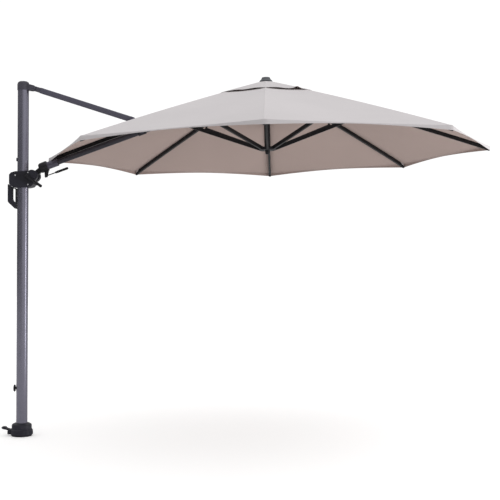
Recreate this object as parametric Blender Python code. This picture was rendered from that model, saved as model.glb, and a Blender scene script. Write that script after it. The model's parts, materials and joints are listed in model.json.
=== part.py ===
"""Cantilever parasol with an octagonal canopy: a round mast on a flanged foot, a strut and a boom that
fold against the mast as the carriage slides down it, and an umbrella linkage of ribs, braces and a runner.
Metres, +Z up. The origin is on the mast axis at the underside of the foot flange, and the boom runs to +X."""

import math

import bmesh
import bpy
from mathutils import Matrix, Vector

# Mast and foot
MAST_R, MAST_BORE_R = 0.044, 0.0405
MAST_Z0, MAST_Z1 = 0.0600, 2.7560
CAP_R, CAP_THROAT, CAP_EARS = 0.0475, 0.0215, 0.030
SPIGOT_R, SPIGOT_TOP = 0.0400, 0.42
FLANGE_R, FLANGE_T = 0.080, 0.012
SKIRT_R, SKIRT_TOP = 0.084, 0.0545
DOME_R, DOME_TOP = 0.078, 0.1035
SKIRT_WEBS, WEB_SPACING, WEB_HALF = 7, 25, 0.003
PEDAL_HOUSING_X, PEDAL_PIVOT = -0.1070, (-0.083, 0.0425)
CLAMP_X, CLAMP_Z = -0.0630, 0.377

# Linkage pivots in the X-Z plane: strut top, carriage, and the pin where the strut holds the boom
TOP_PIVOT = (0.085, 2.7715)
CARRIAGE_PIVOT = (0.085, 2.0690)
STRUT_PIN = (0.955, 2.42025)

# Strut
STRUT_LINE = ((0.134, 2.7555), (0.8620, 2.5213))
STRUT_HALF, STRUT_CORNER = (0.018, 0.0220), 0.008
FORK_IN, FORK_OUT = 0.0305, 0.0345
SLIT_LOW, SLIT_HIGH = (0.830, -0.0420, 2.35), (1.005, 0.0420, 2.60)

# Boom: a fixed outer tube as far as the strut pin, and an inner tube that rolls inside it
BOOM_POINT, BOOM_SLOPE = (0.550, 2.2780), 0.362
OUTER_R, OUTER_BORE, INNER_R, INNER_BORE = 0.0220, 0.0196, 0.0193, 0.0165
CUP_X, SLEEVE_X, OUTER_END_X, INNER_X, INNER_END_X = 0.135, 0.1800, 1.0200, 0.1820, 1.7350
BOOM_END_X, LEVEL_PIVOT_X = 1.7850, 1.80

# Carriage, crank, tilt lever and grip
CARRIAGE_HALF, CHEEK_HALF, CHEEK_R = 0.0560, 0.0600, 0.0455
CARRIAGE_SCREWS = ((-0.047, 2.071), (0.055, 2.0930), (0.055, 1.9965))
CRANK_AXIS, CRANK_END, CRANK_Y, CRANK_GRIP_Y = (0.046, 2.063), (0.1066, 2.0213), -0.0604, -0.0735
LEVER_PIVOT, LEVER_TIP = (0.188, 2.0695), (0.366, 2.1345)
GRIP_HALF, TRIGGER_HALF, TRIGGER_PIVOT = 0.0170, 0.0120, (-0.0860, 1.9640)

# Canopy: a shallow octagonal cone, leaning slightly towards the mast
CANOPY_CENTRE = (1.9553, 0.056, 2.237)
CANOPY_LEAN = math.radians(1.47)
CORNER_R, APEX_H = 1.76, 0.597
SLOPE_1, SLOPE_2 = 0.300, 0.0146
VENT_HOLE_R, VENT_INNER_R, VENT_R = 0.20, 0.0225, 0.45
VENT_TOP_H, VENT_SHOULDER_R, VENT_LIFT = 0.5895, 0.0525, 0.0045
VENT_RINGS = (VENT_INNER_R, VENT_SHOULDER_R, 0.12, 0.22, 0.33, VENT_R)
FABRIC_T, HEM_RISE, GORE_SAG, HEM_SAG = 0.002, 0.018, 0.010, 0.007
SECTORS, GORE = 8, 45
HALF_GORE = math.radians(GORE / 2)
SECTOR_GAP = 0.0002

# Ribs, braces and the two hubs that hold them
RIB_W, RIB_H, RIB_UNDER, RIB_END_R = 0.020, 0.030, 0.0045, 1.747
RIB_NECK_R, RIB_NECK_DROP = 0.22, 0.030
HUB_PIVOT_R, EYE_R, BRACE_W, BRACE_H = 0.058, 0.0125, 0.018, 0.028
JOINT_R, RUNNER_H = 0.74, 0.0525
HUB_R, HUB_CORE_R, HUB_HALF, NECK_R, NECK_TOP_H = 0.070, 0.042, 0.012, 0.0300, 0.5800
POLE_R, POLE_BORE = 0.024, 0.020

# Pins, and the clearances: between faces that meet, round a pin and round the mast where the carriage slides
PIN_R, PIN_HOLE_R = 0.0060, 0.0063
TRUNNION_R, TRUNNION_HOLE_R = 0.0080, 0.0083
GAP, EYE_GAP, SLIDE_GAP = 0.0003, 0.0004, 0.0006
THROUGH = 0.05

# Colour, roughness and metallic value of each material
FINISHES = {
    "mast_metal": ((0.050, 0.049, 0.058), 0.35, 0.0),
    "frame_metal": ((0.078, 0.076, 0.096), 0.40, 0.0),
    "rib_metal": ((0.011, 0.011, 0.013), 0.45, 0.0),
    "housing_plastic": ((0.022, 0.021, 0.029), 0.45, 0.0),
    "hub_plastic": ((0.014, 0.013, 0.017), 0.45, 0.0),
    "foot_plastic": ((0.022, 0.021, 0.032), 0.45, 0.0),
    "finial_plastic": ((0.15, 0.15, 0.162), 0.55, 0.0),
    "bright_steel": ((0.55, 0.55, 0.57), 0.35, 1.0),
    "canopy_fabric": ((0.565, 0.54, 0.55), 0.85, 0.0),
}
SHARP_ANGLE = math.radians(34)


def clear_scene():
    for item in list(bpy.data.objects):
        bpy.data.objects.remove(item)


def material_for(name, slot):
    material = bpy.data.materials.new(name + "_finish")
    material.use_nodes = True
    colour, roughness, metallic = FINISHES[slot]
    shader = material.node_tree.nodes["Principled BSDF"]
    shader.inputs["Base Color"].default_value = (*colour, 1)
    shader.inputs["Roughness"].default_value = roughness
    shader.inputs["Metallic"].default_value = metallic
    return material


def make_object(name, points, faces, slot=None):
    """A mesh object with outward normals. Without a slot it is a helper that isn't rendered."""
    mesh = bpy.data.meshes.new(name)
    mesh.from_pydata([tuple(p) for p in points], [], faces)
    shape = bmesh.new()
    shape.from_mesh(mesh)
    bmesh.ops.recalc_face_normals(shape, faces=shape.faces)
    shape.to_mesh(mesh)
    shape.free()
    mesh.shade_smooth()
    mesh.set_sharp_from_angle(angle=SHARP_ANGLE)
    obj = bpy.data.objects.new(name, mesh)
    bpy.context.scene.collection.objects.link(obj)
    if slot:
        mesh.materials.append(material_for(name, slot))
    else:
        obj.hide_render = True
        obj.display_type = "WIRE"
    return obj


def prism(name, outline, place, low, high, slot=None):
    """An outline of (u, v) points, carried from low to high along the third direction of place."""
    count = len(outline)
    points = [place(u, v, low) for u, v in outline] + [place(u, v, high) for u, v in outline]
    faces = [tuple(range(count)), tuple(range(2 * count - 1, count - 1, -1))]
    faces += [(i, (i + 1) % count, (i + 1) % count + count, i + count) for i in range(count)]
    return make_object(name, points, faces, slot)


def frame_on(origin, axis):
    """A function that places (radius direction 1, radius direction 2, height) about an axis."""
    turn = Vector(axis).normalized().to_track_quat("Z", "Y").to_matrix()
    start = Vector(origin)
    return lambda a, b, h: start + turn @ Vector((a, b, h))


def lathe(name, profile, origin=(0, 0, 0), axis=(0, 0, 1), sides=32, slot=None):
    """A closed profile of (radius, height) turned about an axis. It may start and end on the axis."""
    place = frame_on(origin, axis)
    points, rings = [], []
    for radius, height in profile:
        if radius == 0:
            rings.append([len(points)] * sides)
            points.append(place(0, 0, height))
            continue
        rings.append(list(range(len(points), len(points) + sides)))
        for i in range(sides):
            angle = 2 * math.pi * i / sides
            points.append(place(radius * math.cos(angle), radius * math.sin(angle), height))
    faces = []
    for ring, after in zip(rings, rings[1:] + rings[:1]):
        for i in range(sides):
            j = (i + 1) % sides
            corners = list(dict.fromkeys([ring[i], ring[j], after[j], after[i]]))
            if len(corners) > 2:
                faces.append(corners)
    return make_object(name, points, faces, slot)


def rod(name, start, end, radius, sides=24, slot=None):
    start, end = Vector(start), Vector(end)
    length = (end - start).length
    profile = [(0, 0), (radius, 0), (radius, length), (0, length)]
    return lathe(name, profile, start, end - start, sides, slot)


def tube(name, start, end, radius, bore, sides=32, slot=None):
    start, end = Vector(start), Vector(end)
    length = (end - start).length
    profile = [(bore, 0), (radius, 0), (radius, length), (bore, length)]
    return lathe(name, profile, start, end - start, sides, slot)


def box(name, low, high, slot=None):
    outline = [(low[0], low[2]), (high[0], low[2]), (high[0], high[2]), (low[0], high[2])]
    return prism(name, outline, side_view, low[1], high[1], slot)


def combine(obj, operation, *others):
    for other in others:
        change = obj.modifiers.new(operation.lower(), "BOOLEAN")
        change.operation = operation
        change.solver = "EXACT"
        change.object = other
    return obj


def unite(obj, *others):
    return combine(obj, "UNION", *others)


def cut(obj, *others):
    return combine(obj, "DIFFERENCE", *others)


def side_view(x, z, y):
    return Vector((x, y, z))


def along_y(name, at, half, radius, sides=24, slot=None):
    """A rod along Y, centred on the X-Z plane, for a pin, a trunnion or the hole that one turns in."""
    return rod(name, (at[0], -half, at[1]), (at[0], half, at[1]), radius, sides, slot)


def outline_of(points):
    return [(p.x, p.z) for p in points]


def arc(centre, radius, start, end, steps):
    """Points on a circle from one angle to another, in degrees."""
    found = []
    for i in range(steps + 1):
        angle = math.radians(start + (end - start) * i / steps)
        found.append((centre[0] + radius * math.cos(angle), centre[1] + radius * math.sin(angle)))
    return found


def boom_at(x):
    return Vector((x, 0, BOOM_POINT[1] + BOOM_SLOPE * (x - BOOM_POINT[0])))


BOOM_DIR = Vector((1, 0, BOOM_SLOPE)).normalized()
LEVEL_PIVOT = (LEVEL_PIVOT_X, boom_at(LEVEL_PIVOT_X).z)


def beside_boom(x):
    """Placement with u along the boom from x, v upwards and square to it, and the third axis along Y."""
    start, up = boom_at(x), Vector((-BOOM_DIR.z, 0, BOOM_DIR.x))
    return lambda u, v, y: start + BOOM_DIR * u + up * v + Vector((0, y, 0))


def canopy_point(azimuth, radius, height, across=0.0):
    """A point from its azimuth in degrees, radius, height over the hem plane and distance sideways."""
    angle = math.radians(azimuth)
    flat = Vector((math.cos(angle), math.sin(angle), 0)) * radius
    flat += Vector((-math.sin(angle), math.cos(angle), 0)) * across
    flat.z = height
    return Vector(CANOPY_CENTRE) + Matrix.Rotation(-CANOPY_LEAN, 3, "Y") @ flat


def fabric_height(radius):
    return APEX_H - SLOPE_1 * radius - SLOPE_2 * radius * radius


def rib_top(radius):
    """The rib follows the fabric, and bends down a little over the hub."""
    return fabric_height(radius) - RIB_UNDER - RIB_NECK_DROP * max(0, 1 - radius / RIB_NECK_R)


# The rib and the brace are equally long between their pins, so the runner stays on the pole
HUB_PIVOT_H = rib_top(HUB_PIVOT_R) - EYE_R - EYE_GAP
JOINT_H = (HUB_PIVOT_H + RUNNER_H) / 2
UP = canopy_point(0, 0, 1) - canopy_point(0, 0, 0)


def beside_rib(number):
    """Placement with u outwards from the canopy's axis, v upwards, and the third axis across the rib."""
    return lambda u, v, n: canopy_point(GORE * number, u, v, n)


def build_foot():
    edge = 0.002
    rim = [(0, 0), (FLANGE_R - edge, 0), (FLANGE_R, edge), (FLANGE_R, FLANGE_T - edge)]
    rim += [(FLANGE_R - edge, FLANGE_T), (0, FLANGE_T)]
    lathe("base_flange", rim, sides=48, slot="foot_plastic")
    low = FLANGE_T + GAP
    profile = [(0.046, low), (SKIRT_R + 0.0025, low), (SKIRT_R, SKIRT_TOP - 0.006)]
    profile += [(SKIRT_R - 0.005, SKIRT_TOP), (0.046, SKIRT_TOP)]
    skirt = lathe("foot_skirt", profile, sides=48, slot="foot_plastic")
    for number in range(SKIRT_WEBS):
        angle = math.radians(WEB_SPACING * (number - SKIRT_WEBS // 2))
        out = Vector((math.cos(angle), math.sin(angle), 0))
        side = Vector((-out.y, out.x, 0))
        place = lambda u, v, n, out=out, side=side: out * u + side * n + Vector((0, 0, v))
        outline = [(0.070, low + 0.001), (SKIRT_R + 0.0050, low + 0.001), (SKIRT_R + 0.0025, 0.046), (0.070, 0.046)]
        unite(skirt, prism(f"skirt_web_{number}", outline, place, -WEB_HALF, WEB_HALF))
    housing = [(-0.050, low + 0.001), (PEDAL_HOUSING_X, low + 0.001), (PEDAL_HOUSING_X, 0.040)]
    housing += [(-0.0950, 0.0515), (-0.050, 0.0515)]
    unite(skirt, prism("pedal_housing", housing, side_view, -0.0300, 0.0300))
    recess = box("pedal_recess", (-0.12, -0.0195, 0.030), (-0.062, 0.0195, 0.07))
    cut(skirt, recess)
    rod("base_spigot", (0, 0, FLANGE_T + GAP), (0, 0, SPIGOT_TOP), SPIGOT_R, 40, "bright_steel")


def build_pedal():
    outline = arc(PEDAL_PIVOT, 0.0065, -90, 90, 8)
    outline += [(-0.106, 0.0560), (-0.119, 0.0600), (-0.127, 0.0690), (-0.133, 0.0710), (-0.154, 0.0710)]
    outline += [(-0.157, 0.0680), (-0.156, 0.0570), (-0.142, 0.0510), (-0.122, 0.0480), (-0.110, 0.0430)]
    outline += [(-0.094, 0.0380)]
    pedal = prism("foot_pedal", outline, side_view, -0.0185, 0.0185, "housing_plastic")
    for number in range(3):
        x = -0.136 - 0.007 * number
        cut(pedal, box(f"pedal_groove_{number}", (x - 0.0012, -0.014, 0.0698), (x + 0.0012, 0.014, 0.08)))


def build_mast():
    tube("mast_tube", (0, 0, MAST_Z0), (0, 0, MAST_Z1), MAST_R, MAST_BORE_R, 40, "mast_metal")
    low = SKIRT_TOP + 0.0005
    profile = [(MAST_R + GAP, low), (DOME_R, low), (DOME_R, DOME_TOP - 0.0175)]
    profile += [(DOME_R - 0.0035, DOME_TOP - 0.0110), (DOME_R - 0.0165, DOME_TOP - 0.0035)]
    profile += [(MAST_R + 0.005, DOME_TOP), (MAST_R + GAP, DOME_TOP)]
    lathe("foot_dome", profile, sides=48, slot="foot_plastic")
    box("mast_stop", (-0.0520, -0.010, 2.188), (-MAST_R - GAP, 0.010, 2.214), "housing_plastic")
    low = MAST_Z1 + GAP
    profile = [(0, low), (CAP_R, low), (CAP_R, 2.800), (0.043, 2.817), (0.030, 2.826), (0, 2.829)]
    cap = lathe("mast_cap", profile, sides=40, slot="housing_plastic")
    ear = [(0.010, 2.760), (0.070, 2.7515)] + arc(TOP_PIVOT, 0.020, -60, 75, 8) + [(0.045, 2.803), (0.010, 2.806)]
    unite(cap, prism("cap_ears", ear, side_view, -CAP_EARS, CAP_EARS))
    throat = [(0.0575, 2.70), (0.14, 2.70), (0.14, 2.84), (0.0575, 2.84)]
    cut(cap, prism("cap_throat", throat, side_view, -CAP_THROAT, CAP_THROAT))
    cut(cap, rod("cap_seat", (0, 0, 2.70), (0, 0, low), MAST_R + GAP, 40))
    cut(cap, along_y("cap_pin_hole", TOP_PIVOT, THROUGH, PIN_HOLE_R))
    along_y("top_pin", TOP_PIVOT, CAP_EARS + 0.003, PIN_R, 20, "frame_metal")
    head = [(0, 0), (0.0255, 0), (0.0285, 0.003), (0.0285, 0.006), (0.0230, 0.010), (0.0070, 0.010)]
    head += [(0.0070, 0.0165), (0, 0.0165)]
    lathe("clamp_screw", head, (CLAMP_X, 0, CLAMP_Z), (1, 0, 0), 24, "housing_plastic")


def build_strut():
    start, end = (Vector((x, 0, z)) for x, z in STRUT_LINE)
    along = (end - start).normalized()
    up = Vector((-along.z, 0, along.x))
    place = lambda a, b, h: start + Vector((0, 1, 0)) * a + up * b + along * h
    wide, high = STRUT_HALF
    outline = []
    for side, top, first in ((1, 1, 0), (-1, 1, 90), (-1, -1, 180), (1, -1, 270)):
        centre = (side * (wide - STRUT_CORNER), top * (high - STRUT_CORNER))
        outline += arc(centre, STRUT_CORNER, first, first + 90, 4)
    length = (end - start).length
    prism("strut_tube", outline, place, 0.006, length, "frame_metal")
    shank = start + along * 0.0057
    tip_up, tip_down = shank + up * 0.0185, shank - up * 0.0185
    eye = arc(TOP_PIVOT, 0.019, 100, 250, 10)
    eye += outline_of((tip_down, tip_up))
    half = CAP_THROAT - 0.001
    strut_eye = prism("strut_eye", eye, side_view, -half, half, "housing_plastic")
    cut(strut_eye, along_y("strut_eye_hole", TOP_PIVOT, THROUGH, PIN_HOLE_R))
    shoe_start = end + along * GAP
    shoe = [(0, -0.020), (0.030, -0.020), (0.036, -0.010), (0.036, 0.014), (0.030, 0.020), (0, 0.020)]
    outline = [shoe_start + along * a + up * b for a, b in shoe]
    fork = prism("strut_fork", outline_of(outline), side_view, -FORK_OUT, FORK_OUT, "frame_metal")
    back, front = shoe_start + along * 0.004, shoe_start + along * 0.034
    cheek = [back + up * 0.016, front + up * 0.017, back - up * 0.019]
    outline = [(cheek[0].x, cheek[0].z), (cheek[1].x + 0.045, cheek[1].z - 0.016)]
    outline += arc(STRUT_PIN, 0.018, 40, -130, 10) + [(cheek[2].x + 0.012, cheek[2].z - 0.004)]
    unite(fork, prism("fork_cheeks", outline, side_view, -FORK_OUT, FORK_OUT))
    throat = [(front.x + 0.0045, 2.30), (1.10, 2.30), (1.10, 2.60), (front.x + 0.0045, 2.60)]
    cut(fork, prism("fork_throat", throat, side_view, -FORK_IN, FORK_IN))
    under = [(0.74, 2.30), (1.10, 2.30), (1.10, 2.476), (0.74, 2.476)]
    cut(fork, prism("fork_under", under, side_view, -FORK_IN, FORK_IN))
    cut(fork, along_y("fork_hole", STRUT_PIN, THROUGH, TRUNNION_HOLE_R))


def build_boom_carrier():
    place = beside_boom(CUP_X)
    x, z = CARRIAGE_PIVOT
    profile = [(0, 0), (0.034, 0), (0.0405, 0.012), (0.0420, 0.050), (0.0420, 0.064), (0.0385, 0.068)]
    profile += [(0.0330, 0.068), (0.0330, 0.046), (0, 0.046)]
    cup = lathe("boom_knuckle", profile, boom_at(CUP_X), BOOM_DIR, 32, "hub_plastic")
    top, low = place(0.010, 0.012, 0), place(0.010, -0.026, 0)
    tongue = arc(CARRIAGE_PIVOT, 0.030, 150, 300, 12) + outline_of((low, top)) + [(x + 0.004, z + 0.031)]
    unite(cup, prism("knuckle_tongue", tongue, side_view, -0.016, 0.016))
    unite(cup, along_y("knuckle_trunnion", CARRIAGE_PIVOT, 0.0500, TRUNNION_R))
    bracket = outline_of((place(0.030, -0.036, 0), place(0.064, -0.036, 0))) + [(0.196, 2.060), (0.178, 2.057)]
    unite(cup, prism("lever_bracket", bracket, side_view, -0.012, 0.012))
    cut(cup, box("lever_slot", (0.1700, -0.0065, 2.03), (0.24, 0.0065, 2.0815)))
    cut(cup, along_y("lever_hole", LEVER_PIVOT, THROUGH, 0.0033))
    sleeve = tube("boom_sleeve", boom_at(SLEEVE_X), boom_at(SLEEVE_X + 0.1), 0.0300, OUTER_R + GAP, 32, "frame_metal")
    tube("boom_outer_tube", boom_at(SLEEVE_X), boom_at(OUTER_END_X), OUTER_R, OUTER_BORE, 32, "frame_metal")
    unite(sleeve, rod("roll_index_pin", place(0.110, 0, -0.0270), place(0.110, 0, -0.0360), 0.0070, 16))
    clamp_x = STRUT_PIN[0]
    profile = [(0, 0), (0.0275, 0), (0.0290, 0.003), (0.0290, 0.061), (0.0275, 0.064), (0, 0.064)]
    clamp = lathe("strut_clamp", profile, boom_at(clamp_x - 0.034), BOOM_DIR, 32, "housing_plastic")
    unite(clamp, along_y("clamp_trunnion", STRUT_PIN, 0.0390, TRUNNION_R))
    unite(clamp, prism("clamp_lug", arc(STRUT_PIN, 0.0200, 0, 345, 23), side_view, -0.0270, 0.0270))
    cut(clamp, rod("clamp_bore", boom_at(clamp_x - 0.09), boom_at(clamp_x + 0.09), OUTER_R + GAP, 32))


def build_boom():
    tube("boom_inner_tube", boom_at(INNER_X), boom_at(INNER_END_X), INNER_R, INNER_BORE, 32, "rib_metal")
    start = boom_at(INNER_END_X + 0.0004)
    end = rod("boom_end", start, boom_at(BOOM_END_X), INNER_R, 24, "housing_plastic")
    unite(end, prism("boom_end_eye", arc(LEVEL_PIVOT, 0.0170, 0, 345, 23), side_view, -0.0190, 0.0190))
    unite(end, rod("boom_end_neck", boom_at(1.77), boom_at(1.790), 0.0168, 24))
    cut(end, along_y("boom_end_hole", LEVEL_PIVOT, THROUGH, PIN_HOLE_R))


def build_carriage():
    outline = [(-0.0850, 1.9880), (-0.0600, 1.9760), (0.0480, 1.9740), (0.0780, 1.9810), (0.0980, 2.0000)]
    outline += [(0.1020, 2.0240), (0.0740, 2.0980), (0.0400, 2.1060), (-0.0500, 2.1030), (-0.0820, 2.0930)]
    outline += [(-0.0970, 2.0760), (-0.0970, 2.0050)]
    disc = arc(CARRIAGE_PIVOT, CHEEK_R, 0, 352.5, 47)
    bore = rod("carriage_bore", (0, 0, 1.9), (0, 0, 2.2), MAST_R + SLIDE_GAP, 40)
    outer = arc(CARRIAGE_PIVOT, 0.0350, 128, 290, 20) + [(0.20, 1.99), (0.20, 2.20), (0.063, 2.20)]
    slot = prism("tongue_slot", outer, side_view, -0.0168, 0.0168)
    outer = arc(CARRIAGE_PIVOT, 0.0460, -25, 118, 20) + [(0.08, 2.2), (0.3, 2.2), (0.3, 1.98)]
    sweep = prism("knuckle_sweep", outer, side_view, -0.0460, 0.0460)
    hole = along_y("carriage_pin_hole", CARRIAGE_PIVOT, 0.0505, TRUNNION_HOLE_R)
    for name, side in (("carriage_front", -1), ("carriage_rear", 1)):
        half = prism(name, outline, side_view, side * GAP / 2, side * CARRIAGE_HALF, "housing_plastic")
        unite(half, prism(name + "_cheek", disc, side_view, side * GAP / 2, side * CHEEK_HALF))
        cut(half, sweep, slot, bore, hole)
    for number, (x, z) in enumerate(CARRIAGE_SCREWS):
        seat = rod(f"screw_seat_{number}", (x, -0.07, z), (x, -0.0530, z), 0.0060, 20)
        cut(bpy.data.objects["carriage_front"], seat)
        rod(f"carriage_screw_{number}", (x, -0.0578, z), (x, -0.0533, z), 0.0056, 18, "bright_steel")


def build_grip():
    grip = [(-0.0505, 1.9680), (-0.0600, 1.9735), (-0.0950, 1.9875), (-0.1130, 2.0030), (-0.1180, 2.0000)]
    grip += [(-0.1180, 1.8690), (-0.1120, 1.8560), (-0.0620, 1.8100), (-0.0505, 1.8060)]
    handle = prism("grip_handle", grip, side_view, -GRIP_HALF, GRIP_HALF, "housing_plastic")
    hollow = [(-0.0805, 1.8860), (-0.0740, 1.8700), (-0.0600, 1.8560), (-0.0560, 1.8600), (-0.0560, 1.9600)]
    hollow += [(-0.0620, 1.9660), (-0.0770, 1.9700), (-0.0805, 1.9660)]
    cut(handle, prism("grip_window", hollow, side_view, -0.03, 0.03))
    cut(handle, rod("grip_bore", (0, 0, 1.75), (0, 0, 2.05), MAST_R + SLIDE_GAP, 40))
    cut(handle, box("trigger_pocket", (-0.0940, -0.0126, 1.8860), (-0.0700, 0.0126, 1.9690)))
    trigger = arc(TRIGGER_PIVOT, 0.0040, 0, 180, 8)
    trigger += [(-0.0900, 1.9100), (-0.0878, 1.8940), (-0.0838, 1.8940), (-0.0820, 1.9100)]
    prism("grip_trigger", trigger, side_view, -TRIGGER_HALF, TRIGGER_HALF, "hub_plastic")


def build_crank():
    start, end = side_view(*CRANK_AXIS, 0), side_view(*CRANK_END, 0)
    profile = [(0, 0), (0.0150, 0), (0.0150, 0.008), (0.0125, 0.012), (0, 0.012)]
    hub = lathe("crank_arm", profile, side_view(*CRANK_AXIS, CRANK_Y), (0, -1, 0), 24, "hub_plastic")
    length, along = (end - start).length, (end - start).normalized()
    side = Vector((-along.z, 0, along.x))
    place = lambda u, v, y: start + along * u + side * v + Vector((0, y, 0))
    outline = [(-0.012, -0.009), (0.0, -0.012), (length - 0.012, -0.0085)]
    outline += [(length - 0.012, 0.0085), (0.0, 0.012), (-0.012, 0.009)]
    unite(hub, prism("crank_blade", outline, place, -0.0770, -0.0690))
    fork = [(length - 0.016, -0.0095), (length + 0.0052, -0.0095)]
    fork += [(length + 0.0052, 0.0095), (length - 0.016, 0.0095)]
    unite(hub, prism("crank_fork", fork, place, CRANK_GRIP_Y - 0.0062, CRANK_GRIP_Y + 0.0062))
    gap = [(length - 0.0082, -0.0055), (length + 0.03, -0.0055)]
    gap += [(length + 0.03, 0.0055), (length - 0.0082, 0.0055)]
    cut(hub, prism("crank_fork_gap", gap, place, -0.09, -0.06))
    profile = [(0, 0.0088), (0.0045, 0.0088), (0.0105, 0.0160), (0.0125, 0.030), (0.0110, 0.058), (0.0125, 0.069)]
    profile += [(0.0080, 0.0755), (0, 0.0765)]
    grip = lathe("crank_handle", profile, place(length, 0, CRANK_GRIP_Y), along, 20, "hub_plastic")
    beside = lambda u, v, n: place(length + u, n, CRANK_GRIP_Y + v)
    eye = arc((0, 0), 0.0055, 60, 300, 12) + [(0.012, -0.0045), (0.012, 0.0045)]
    unite(grip, prism("handle_eye", eye, beside, -0.0050, 0.0050))


def build_tilt_lever():
    pivot, tip = side_view(*LEVER_PIVOT, 0), side_view(*LEVER_TIP, 0)
    profile = [(0, 0.004), (0.0042, 0.004), (0.0042, 0.075), (0.0085, 0.080), (0.0100, 0.100), (0.0095, 0.150)]
    profile += [(0.0105, 0.176), (0.0070, 0.186), (0, 0.188)]
    lever = lathe("tilt_lever", profile, pivot, tip - pivot, 20, "hub_plastic")
    unite(lever, prism("tilt_lever_eye", arc(LEVER_PIVOT, 0.0070, 0, 345, 23), side_view, -0.0060, 0.0060))
    unite(lever, along_y("tilt_lever_trunnion", LEVER_PIVOT, 0.0115, 0.0030, 16))


def crown(name, height, slot_w, slot):
    """A disc with eight radial slots that the rib or brace ends turn in."""
    edge, low, high = 0.003, height - HUB_HALF, height + HUB_HALF
    profile = [(0, low), (HUB_R - edge, low), (HUB_R, low + edge)]
    profile += [(HUB_R, high - edge), (HUB_R - edge, high), (0, high)]
    disc = lathe(name, profile, canopy_point(0, 0, 0), UP, 48, slot)
    for number in range(SECTORS):
        outline = [(HUB_CORE_R, height - 0.03), (0.10, height - 0.03)]
        outline += [(0.10, height + 0.03), (HUB_CORE_R, height + 0.03)]
        cut(disc, prism(f"{name}_slot_{number}", outline, beside_rib(number), -slot_w / 2, slot_w / 2))
    return disc


def build_hub():
    hub = crown("crown_hub", HUB_PIVOT_H, RIB_W + 0.001, "hub_plastic")
    unite(hub, rod("hub_neck", canopy_point(0, 0, HUB_PIVOT_H), canopy_point(0, 0, NECK_TOP_H), NECK_R, 32))
    bracket = arc(LEVEL_PIVOT, 0.0150, 150, 330, 12)
    bracket += [(1.8330, 2.7560), (1.8380, 2.7720), (1.8500, 2.7800), (1.8650, 2.7900), (1.9300, 2.7930)]
    bracket += [(1.9300, 2.8040), (1.8700, 2.7965), (1.8200, 2.7770), (1.7900, 2.7660), (1.7840, 2.7620)]
    arms = prism("hub_bracket", bracket, side_view, -0.0270, 0.0270, "hub_plastic")
    throat = [(1.70, 2.70), (1.8220, 2.70), (1.8220, 2.80), (1.70, 2.80)]
    cut(arms, prism("bracket_throat", throat, side_view, -0.0196, 0.0196))
    cut(arms, rod("bracket_neck_hole", canopy_point(0, 0, 0.45), canopy_point(0, 0, 0.62), NECK_R + GAP, 32))
    cut(arms, along_y("bracket_hole", LEVEL_PIVOT, THROUGH, PIN_HOLE_R))
    along_y("level_pin", LEVEL_PIVOT, 0.0290, PIN_R, 20, "bright_steel")
    foot, head = canopy_point(0, 0, RUNNER_H - 0.008), canopy_point(0, 0, HUB_PIVOT_H - HUB_HALF - GAP)
    tube("centre_pole", foot, head, POLE_R, POLE_BORE, 32, "rib_metal")
    profile = [(0, 0.5925), (0.0500, 0.5905), (0.0520, 0.5930), (0.0505, 0.5975), (0.0400, 0.6070)]
    profile += [(0.0345, 0.6160), (0.0335, 0.6220), (0.0300, 0.6240), (0, 0.6240)]
    finial = lathe("finial", profile, canopy_point(0, 0, 0), UP, 40, "finial_plastic")
    unite(finial, rod("finial_stem", canopy_point(0, 0, NECK_TOP_H + GAP), canopy_point(0, 0, 0.60), 0.0200, 24))


def rib_outline():
    steps = [RIB_NECK_R + (RIB_END_R - RIB_NECK_R) * i / 9 for i in range(10)]
    top = [(r, rib_top(r)) for r in steps]
    low = [(r, height - RIB_H) for r, height in reversed(top)]
    neck = 0.110
    start = [(neck, rib_top(neck) - RIB_H)]
    return top + low + start + arc((HUB_PIVOT_R, HUB_PIVOT_H), EYE_R, 300, 90, 12)


def build_rib(number):
    place = beside_rib(number)
    rib = prism(f"rib_{number + 1}", rib_outline(), place, -RIB_W / 2, RIB_W / 2, "rib_metal")
    lug = arc((JOINT_R, JOINT_H), 0.0090, 180, 360, 8)
    under = rib_top(JOINT_R) - RIB_H + 0.006
    lug += [(JOINT_R + 0.014, under), (JOINT_R - 0.014, under + 0.006)]
    unite(rib, prism(f"rib_lug_{number}", lug, place, -0.003, 0.003))


def build_brace(number):
    run, rise = JOINT_R - HUB_PIVOT_R, JOINT_H - RUNNER_H
    length, angle = math.hypot(run, rise), math.degrees(math.atan2(rise, run))
    outline = arc((HUB_PIVOT_R, RUNNER_H), BRACE_H / 2, angle + 90, angle + 270, 8)
    outline += arc((JOINT_R, JOINT_H), BRACE_H / 2, angle - 90, angle + 90, 8)
    place = beside_rib(number)
    brace = prism(f"brace_{number + 1}", outline, place, -BRACE_W / 2, BRACE_W / 2, "rib_metal")
    cos, sin = run / length, rise / length
    slot = [(u * cos - v * sin + JOINT_R, u * sin + v * cos + JOINT_H)
            for u, v in ((-0.034, -0.03), (0.03, -0.03), (0.03, 0.03), (-0.034, 0.03))]
    cut(brace, prism(f"brace_slot_{number}", slot, place, -0.0036, 0.0036))


def build_runner():
    runner = crown("runner", RUNNER_H, BRACE_W + 0.001, "hub_plastic")
    profile = [(0, -0.044), (0.0120, -0.044), (0.0175, -0.038), (0.0205, -0.014), (0.0300, -0.004), (0.0300, 0), (0, 0)]
    unite(runner, lathe("runner_boss", profile, canopy_point(0, 0, RUNNER_H), UP, 32))
    low, high = canopy_point(0, 0, RUNNER_H - 0.0085), canopy_point(0, 0, RUNNER_H + 0.1)
    cut(runner, rod("runner_bore", low, high, POLE_R + GAP, 32))


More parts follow.
